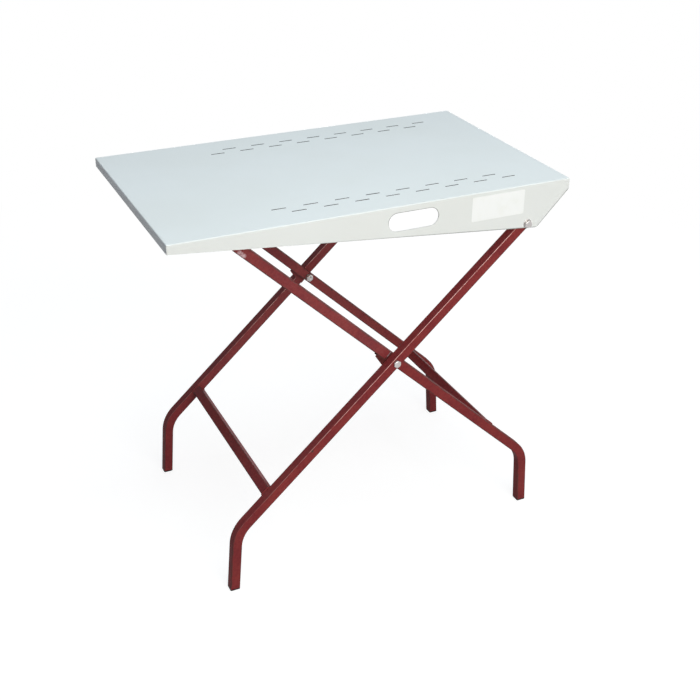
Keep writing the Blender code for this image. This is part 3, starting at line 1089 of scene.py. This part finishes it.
@dataclass
class Fasteners:
    """Turned hex bolts, lock nuts and washers; what repeats is modelled once and copied to each joint."""

    flats: float = 0.017
    head: float = 0.0064
    chamfer: float = 0.0021
    lathe_share: float = 1.02
    # Rise of each step of the crown, as a share of the chamfer, and its scale.
    crown: tuple[Pair, ...] = ((0.62, 0.86), (0.27, 0.93), (0.11, 0.94))
    shank: float = 0.005
    overlap: float = 0.001
    thread_run: float = 0.020
    thread_turns: int = 12
    thread_pitch: float = 0.0015
    thread_depth: float = 0.0006
    root_share: float = 0.35
    point_length: float = 0.0012
    point_scale: float = 0.80
    point_zone: float = 0.004
    nut: float = 0.0095
    nut_hexagon: float = 0.72
    nut_bore: float = 0.00525
    collar_step: float = 0.0008
    collar_round: float = 0.0014
    insert_radius: float = 0.00595
    insert_cord: float = 0.00065
    insert_rise: float = 0.0001
    insert_squash: float = 0.5
    insert_shading: float = 60.0
    washer: float = 0.0105
    washer_thickness: float = 0.002
    washer_bore: float = 0.0052
    washer_edge: float = 0.0004
    spacer_edge: float = 0.0002
    shading: float = 35.0
    masters: dict[Turned, bpy.types.Object] = field(default_factory=dict)

    def build(self, dresser: Dresser) -> None:
        """Sets every fastener of the scissor and pivot joints.

        Args:
            dresser: Finishes the pieces.
        """
        self.masters = {
            Turned.NUT: self._nut(),
            Turned.INSERT: self._insert(),
            Turned.WASHER: self._washer(),
        }
        # The scissor's nut washers take the darker zinc.
        joints = (("scissor", Body.OUTER, Coat.DARKER_ZINC), ("pivot", Body.TOP, Coat.ZINC))
        for prefix, body, washer_coat in joints:
            for side in Side:
                bolt = f"{prefix}_bolt_{side.word}"
                dresser.dress(self._bolt(bolt, side), body, Coat.ZINC, [bolt])
                nut = f"{prefix}_nut_{side.word}"
                dresser.dress(self._set(Turned.NUT, nut, side), body, Coat.ZINC, [nut])
                dresser.dress(self._set(Turned.INSERT, nut, side), body, Coat.NYLON)
                washer = f"{prefix}_nut_washer_{side.word}"
                dresser.dress(self._set(Turned.WASHER, washer, side), body, washer_coat, [washer])
        for side in Side:
            washer = f"pivot_head_washer_{side.word}"
            dresser.dress(self._set(Turned.WASHER, washer, side), Body.TOP, Coat.ZINC, [washer])
            dresser.reskin(f"pivot_spacer_{side.word}", Body.TOP, Coat.PLUG, self.spacer_edge)
        for master in self.masters.values():
            bpy.data.objects.remove(master)

    @staticmethod
    def _outer_end(node: str, side: Side) -> Matrix:
        """The place of a fastener's outer face, with Z away from the table's middle plane.

        Args:
            node: The fastener's node.
            side: Front or rear.

        Returns:
            The placing matrix.
        """
        low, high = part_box(node)
        face = (low + high) / 2
        face.y = high.y if side is Side.REAR else low.y
        return Matrix.Translation(face) @ Matrix.Rotation(-side.value * math.pi / 2, 4, "X")

    def _set(self, kind: Turned, node: str, side: Side) -> bpy.types.Object:
        """A copy of a modelled fastener part, set where a node is."""
        return Bench.copy(self.masters[kind], f"{node}_{kind.value}_turned", self._outer_end(node, side))

    def _hexagon(self, height: float) -> bpy.types.Object:
        """A hexagonal prism below zero, its upper end crowned by a lathe cut.

        Args:
            height: Height of the prism.

        Returns:
            The prism.
        """
        radius = self.flats / 2 / math.cos(math.pi / 6)
        prism = Bench.cylinder(6, radius, height, -height / 2)
        lathe = Bench.cylinder(96, radius * self.lathe_share, height + self.overlap, -height / 2)
        with Bench.editing(lathe):
            Bench.select_faces(lathe, lambda face: face.normal.z > LEVEL)
            bpy.ops.transform.translate(value=(0, 0, -self.chamfer - self.overlap / 2))
            for rise, share in self.crown:
                Bench.extrude((0, 0, rise * self.chamfer), share)
        Bench.combine(prism, lathe, "INTERSECT")
        return prism

    def _bolt(self, node: str, side: Side) -> bpy.types.Object:
        """A hex bolt with a crowned head and rolled thread rings on its free end.

        Args:
            node: The bolt's node.
            side: Front or rear.

        Returns:
            The bolt.
        """
        low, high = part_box(node)
        length = high.y - low.y - self.head
        tip = -self.head - length
        bolt = self._hexagon(self.head)
        middle = -self.head - length / 2 + self.overlap
        rod = Bench.cylinder(32, self.shank, length + 2 * self.overlap, middle)
        root = self.shank - self.thread_depth
        rings = ((self.root_share, root), (1 - self.root_share, self.shank))
        with Bench.editing(rod):
            Bench.select_faces(rod, lambda face: face.normal.z < -LEVEL)
            bpy.ops.transform.translate(value=(0, 0, self.thread_run))
            for _ in range(self.thread_turns):
                for share, radius in rings:
                    before = max(face.verts[0].co.xy.length for face in Bench.selected(rod))
                    Bench.extrude((0, 0, -self.thread_pitch * share), radius / before)
            Bench.extrude((0, 0, -self.point_length), self.point_scale)
            Bench.select_faces(
                rod,
                lambda face: face.normal.z < -LEVEL
                and face.calc_center_median().z < tip + self.point_zone,
            )
            drop = tip - min(face.calc_center_median().z for face in Bench.selected(rod))
            bpy.ops.transform.translate(value=(0, 0, drop))
        Bench.combine(bolt, rod, "UNION")
        bolt.name = f"{node}_turned"
        Bench.smooth(bolt, self.shading)
        return Bench.settle(bolt, self._outer_end(node, side))

    def _nut(self) -> bpy.types.Object:
        """A lock nut below zero: hexagon, domed collar and bore.

        Returns:
            The nut.
        """
        nut = self._hexagon(self.nut * self.nut_hexagon)
        middle = -(self.nut + self.overlap) / 2
        collar = Bench.cylinder(48, self.flats / 2 - self.collar_step, self.nut - self.overlap, middle)
        with Bench.editing(collar):
            Bench.select_faces(collar, lambda face: face.normal.z < -LEVEL)
            bpy.ops.mesh.bevel(offset=self.collar_round, segments=4, affect="EDGES")
        Bench.combine(nut, collar, "UNION")
        Bench.combine(nut, Bench.cylinder(32, self.nut_bore, 4 * self.nut), "DIFFERENCE")
        Bench.smooth(nut, self.shading)
        return nut

    def _insert(self) -> bpy.types.Object:
        """The nylon ring that shows inside the lock nut's collar.

        Returns:
            The ring.
        """
        radii = {"major_radius": self.insert_radius, "minor_radius": self.insert_cord}
        steps = {"major_segments": 40, "minor_segments": 10}
        bpy.ops.mesh.primitive_torus_add(**radii, **steps, location=(0, 0, -self.nut + self.insert_rise))
        ring = Bench.settle(bpy.context.object)
        with Bench.editing(ring, "VERT", "SELECT"):
            squash = (1.0, 1.0, self.insert_squash)
            bpy.ops.transform.resize(value=squash, center_override=(0, 0, -self.nut))
        Bench.smooth(ring, self.insert_shading)
        return ring

    def _washer(self) -> bpy.types.Object:
        """A punched washer below zero, with rolled edges.

        Returns:
            The washer.
        """
        washer = Bench.cylinder(56, self.washer, self.washer_thickness, -self.washer_thickness / 2)
        punch = Bench.cylinder(40, self.washer_bore, 10 * self.washer_thickness)
        Bench.combine(washer, punch, "DIFFERENCE")
        Bench.break_edges(washer, self.washer_edge, 3)
        Bench.smooth(washer, self.shading)
        return washer


@dataclass
class StopBrackets:
    """The folded stop plates between the crossing tubes."""

    scissor: Vector
    lean: float
    edge: float = 0.0005
    thickness: float = 0.0025
    web_edge: float = 0.010
    widening: float = 0.0058
    lip_top: float = 0.0128
    rise: float = 0.0016
    tolerance: float = 0.0008
    alike: float = 0.99

    def build(self, dresser: Dresser) -> None:
        """Makes and dresses both brackets.

        Args:
            dresser: Finishes the pieces.
        """
        # The front plate, which lies in shadow between the legs, takes the darker red as painted shade;
        # the rear takes the plain red.
        for side, coat in ((Side.FRONT, Coat.SHADOW_PAINTED_RED), (Side.REAR, Coat.RED)):
            node = f"stop_bracket_{side.word}"
            dresser.dress(self._plate(node, side), Body.OUTER, coat, [node])

    def _lies(self, face: bmesh.types.BMFace, way: Vector, reach: float) -> bool:
        """Whether a face looks one way and lies that far from the scissor joint."""
        place = (face.calc_center_median() - self.scissor).dot(way)
        return face.normal.dot(way) > self.alike and abs(place - reach) < self.tolerance

    def _plate(self, node: str, side: Side) -> bpy.types.Object:
        """A bracket with broken edges, whose web reaches out from behind the outer leg and above its lip.

        Args:
            node: The bracket's node.
            side: Front or rear.

        Returns:
            The bracket.
        """
        plate = Bench.merged(node, f"{node}_skin")
        along = Vector((-math.cos(self.lean), 0, math.sin(self.lean)))
        up = Vector((math.sin(self.lean), 0, math.cos(self.lean)))
        low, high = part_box(node)
        web_back = (high.y if side is Side.REAR else low.y) - side.value * self.thickness
        with Bench.editing(plate):
            Bench.select_faces(plate, lambda face: self._lies(face, along, self.web_edge))
            bpy.ops.transform.translate(value=along * self.widening)
            Bench.select_faces(plate, lambda face: self._lies(face, up, -self.lip_top))
            bpy.ops.mesh.bisect(plane_co=(0, web_back, 0), plane_no=(0, 1, 0))
            Bench.select_faces(
                plate,
                lambda face: self._lies(face, up, -self.lip_top)
                and abs(face.calc_center_median().y) > abs(web_back),
            )
            Bench.extrude(up * self.rise)
        Bench.break_edges(plate, self.edge)
        Bench.mark_corners(plate)
        Bench.smooth(plate)
        return plate


@dataclass(frozen=True)
class PhotoCamera:
    """The camera that a fit to the photograph gives."""

    yaw: float = math.radians(25.2374)
    pitch: float = math.radians(28.6654)
    roll: float = math.radians(0.50405)
    place: Point = (-1.06839, -2.40052, 1.88797)
    focal_pixels: float = 1129.25
    image_pixels: float = 700.0
    sensor: float = 36.0
    far_clip: float = 200.0

    def build(self) -> None:
        """Adds the camera and makes it the scene's own."""
        level = math.cos(self.pitch)
        forward = Vector((level * math.sin(self.yaw), level * math.cos(self.yaw), -math.sin(self.pitch)))
        right = Vector((math.cos(self.yaw), -math.sin(self.yaw), 0.0))
        up = right.cross(forward)
        rolled_right = math.cos(self.roll) * right + math.sin(self.roll) * up
        rolled_up = math.cos(self.roll) * up - math.sin(self.roll) * right
        turn = Matrix((rolled_right, rolled_up, -forward)).transposed().to_4x4()
        data = bpy.data.cameras.new("photo_camera")
        data.sensor_width = self.sensor
        data.lens = self.focal_pixels * self.sensor / self.image_pixels
        data.clip_end = self.far_clip
        camera = bpy.data.objects.new("photo_camera", data)
        camera.matrix_world = Matrix.Translation(self.place) @ turn
        bpy.context.scene.collection.objects.link(camera)
        bpy.context.scene.camera = camera


@dataclass(frozen=True)
class Lamp:
    """One softbox of the studio."""

    name: str
    place: Point
    target: Point
    size: Pair
    power: float
    colour: Colour

    def build(self) -> None:
        """Adds the lamp, which the camera itself doesn't see."""
        data = bpy.data.lights.new(self.name, "AREA")
        data.shape = "RECTANGLE"
        data.size, data.size_y = self.size
        data.energy = self.power
        data.color = self.colour
        lamp = bpy.data.objects.new(self.name, data)
        lamp.visible_camera = False
        aim = (Vector(self.target) - Vector(self.place)).to_track_quat("-Z", "Y")
        lamp.matrix_world = Matrix.Translation(self.place) @ aim.to_matrix().to_4x4()
        bpy.context.scene.collection.objects.link(lamp)
        LOG.info("lamp %s", self.name)


@dataclass(frozen=True)
class Studio:
    """Pale floor, white surroundings and soft lamps."""

    floor_size: float = 120.0
    floor_glow: float = 0.83
    floor_colour: Colour = (0.30, 0.30, 0.30)
    bounce_colour: Colour = (0.42, 0.42, 0.42)
    shadow_reach: Pair = (1.0, 2.6)
    ambient: Colour = (0.150, 0.160, 0.195)
    lamps: tuple[Lamp, ...] = (
        Lamp("front_key", (0.0, -3.6, 2.2), (0.0, -0.2, 0.8), (2.8, 2.4), 106.0, (1.0, 0.985, 0.90)),
        Lamp("top_softbox", (0.0, -0.6, 3.3), (0.0, -0.1, 0.9), (2.4, 2.0), 44.0, (0.80, 0.95, 1.0)),
        Lamp("rear_fill", (1.2, 3.2, 0.50), (0.0, 0.0, 0.5), (3.2, 0.8), 42.0, (1.0, 1.0, 1.0)),
        Lamp("side_fill", (3.4, 0.9, 0.50), (0.0, 0.0, 0.5), (2.4, 0.8), 18.0, (1.0, 1.0, 1.0)),
    )

    def build(self) -> None:
        """Sets the view transform, floor, world and lamps."""
        bpy.context.scene.view_settings.view_transform = "Standard"
        self._floor()
        self._world()
        for lamp in self.lamps:
            lamp.build()

    @staticmethod
    def _seen(graph: Graph) -> Value:
        """Tells rays that show the surroundings from those that light the table.

        Args:
            graph: The graph of the floor or the world.

        Returns:
            1 for rays that show, 0 for rays that light.
        """
        rays = graph.node("ShaderNodeLightPath", {}, {})
        kinds = ("Is Camera Ray", "Is Glossy Ray", "Is Transmission Ray")
        return reduce(Value.larger, [Value(graph, rays.outputs[kind]) for kind in kinds])

    def _floor(self) -> None:
        """Adds the floor, which looks white, keeps the shadow and throws little light back."""
        bpy.ops.mesh.primitive_plane_add(size=self.floor_size)
        floor = bpy.context.object
        floor.name = "floor"
        graph = Graph.of_material("pale_floor")
        glow = graph.node("ShaderNodeEmission", {}, {"Color": WHITE_LIGHT, "Strength": self.floor_glow})
        shade = graph.node("ShaderNodeBsdfDiffuse", {}, {"Color": (*self.floor_colour, 1.0)})
        near = graph.node("ShaderNodeAddShader", {}, {0: glow, 1: shade})
        white = graph.node("ShaderNodeEmission", {}, {"Color": WHITE_LIGHT, "Strength": 1.0})
        far = graph.distance((0, 0, 0), (1, 1, 1)).ramp(*self.shadow_reach)
        shown = graph.node("ShaderNodeMixShader", {}, {0: far, 1: near, 2: white})
        bounce = graph.node("ShaderNodeBsdfDiffuse", {}, {"Color": (*self.bounce_colour, 1.0)})
        graph.show(graph.node("ShaderNodeMixShader", {}, {0: self._seen(graph), 1: bounce, 2: shown}))
        floor.data.materials.append(graph.owner)
        floor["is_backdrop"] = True

    def _world(self) -> None:
        """Makes the surroundings white to look at and dimmer as a light."""
        world = bpy.data.worlds.new("studio")
        bpy.context.scene.world = world
        graph = Graph(world)
        white = graph.node("ShaderNodeBackground", {}, {"Color": WHITE_LIGHT})
        ambient = graph.node("ShaderNodeBackground", {}, {"Color": (*self.ambient, 1.0)})
        graph.show(graph.node("ShaderNodeMixShader", {}, {0: self._seen(graph), 1: ambient, 2: white}))


@dataclass(frozen=True)
class GlintPlaces:
    """Where the red enamel carries painted highlights, measured from the scissor joint along and below the
    inner leg.
    """

    scissor: Vector
    lean: float
    leg_face: float = -0.2686
    plate_middle: float = -0.2704
    depth: float = 0.004
    glint_alongs: tuple[float, ...] = (0.500, 0.507, 0.514)
    glint_down: float = 0.0065
    glint_reach: float = 0.0075
    glint_share: float = 0.85
    fade_alongs: tuple[float, ...] = (0.08, 0.18, 0.28, 0.38, 0.48)
    fade_reach: float = 0.10
    fade_share: float = 0.035
    edge_along: float = 0.0172
    edge_downs: tuple[float, ...] = (-0.011, -0.007, -0.003, 0.001)
    edge_reach: float = 0.0035
    edge_share: float = 0.95

    def leg(self) -> tuple[GlintSpot, ...]:
        """Painted highlights on the front inner leg: a bright streak at its upper end, and a faint fade
        below it.

        Returns:
            The spots.
        """
        streaks = [
            self._spot(along, self.glint_down, self.leg_face, self.glint_reach, self.glint_share)
            for along in self.glint_alongs
        ]
        fades = [
            self._spot(along, 0.0, self.leg_face, self.fade_reach, self.fade_share)
            for along in self.fade_alongs
        ]
        return (*streaks, *fades)

    def plate(self) -> tuple[GlintSpot, ...]:
        """Painted highlights along the front stop plate's edge."""
        return tuple(
            self._spot(self.edge_along, down, self.plate_middle, self.edge_reach, self.edge_share)
            for down in self.edge_downs
        )

    def _spot(self, along: float, down: float, y: float, reach: float, share: float) -> GlintSpot:
        """One spot of painted highlight.

        Args:
            along: Distance up the inner leg from the scissor joint.
            down: Distance below the leg's middle line.
            y: Place across the table.
            reach: Radius in the plane of the leg.
            share: Strength of the painted highlight.

        Returns:
            The spot.
        """
        leg = Vector((-math.cos(self.lean), 0, math.sin(self.lean)))
        below = Vector((-math.sin(self.lean), 0, -math.cos(self.lean)))
        centre = self.scissor + leg * along + below * down
        return GlintSpot((centre.x, y, centre.z), (reach, self.depth, reach), share)


def make_dresser(surface: float, scissor: Vector) -> Dresser:
    """Builds every finish.

    Args:
        surface: Height of the work surface.
        scissor: Place of the scissor joint.

    Returns:
        The dresser that holds them.
    """
    glint_places = GlintPlaces(scissor, INNER_LEAN)
    # Darker red for painted shade on the front stop plate.
    shadow_tone = {"colour": (0.125, 0.028, 0.026), "thick": (0.080, 0.019, 0.019), "gloss": 0.02}
    # Darker colours for the scissor's nut washers.
    darker_tone = {"colour": (0.17, 0.13, 0.125), "bloom": (0.14, 0.10, 0.09), "dull": (0.08, 0.07, 0.07)}
    finishes = {
        Coat.WHITE: WhiteEnamel(surface),
        Coat.RED: RedEnamel(glint_places.leg()),
        # The front stop plate: painted shade, with painted highlights along its edge.
        Coat.SHADOW_PAINTED_RED: RedEnamel(glint_places.plate(), "shadow_painted_red", **shadow_tone),
        Coat.ZINC: ZincPlate(),
        Coat.DARKER_ZINC: ZincPlate("darker_zinc", **darker_tone),
        Coat.PLUG: MouldedPlastic("black_plastic", (0.014, 0.010, 0.010), (0.045, 0.034, 0.033), 0.50),
        Coat.NYLON: MouldedPlastic("nylon_insert", (0.42, 0.46, 0.50), (0.55, 0.57, 0.58), 0.40),
        Coat.LABEL: BlankVinyl(),
    }
    slots = {
        Coat.WHITE: "white_enamel",
        Coat.RED: "red_enamel",
        Coat.SHADOW_PAINTED_RED: "red_enamel",
        Coat.ZINC: "zinc_steel",
        Coat.DARKER_ZINC: "zinc_steel",
        Coat.PLUG: "black_plastic",
    }
    return Dresser({coat: finish.material() for coat, finish in finishes.items()}, slots)


def main() -> None:
    """Builds the studio and every sub-assembly in order."""
    logging.basicConfig(level=logging.INFO, format="%(name)s: %(message)s")
    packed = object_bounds()
    bpy.ops.object.select_all(action="DESELECT")
    surface = packed[1][2]
    joints = {joint["name"]: joint["pos_m"] for joint in FRAME["record"]["behaviour"]["joints"]}
    scissor = Vector(joints["scissor_hinge"])
    dresser = make_dresser(surface, scissor)
    PhotoCamera().build()
    Studio().build()
    TopTray(surface).build(dresser)
    LegPair("outer", Body.OUTER, -OUTER_LEAN, ("outer_cross_bar",)).build(dresser)
    LegPair("inner", Body.INNER, INNER_LEAN, ("inner_cross_bar",), ("inner_top_bar",)).build(dresser)
    StopBrackets(scissor, INNER_LEAN).build(dresser)
    Fasteners().build(dresser)


if __name__ == "__main__":
    main()
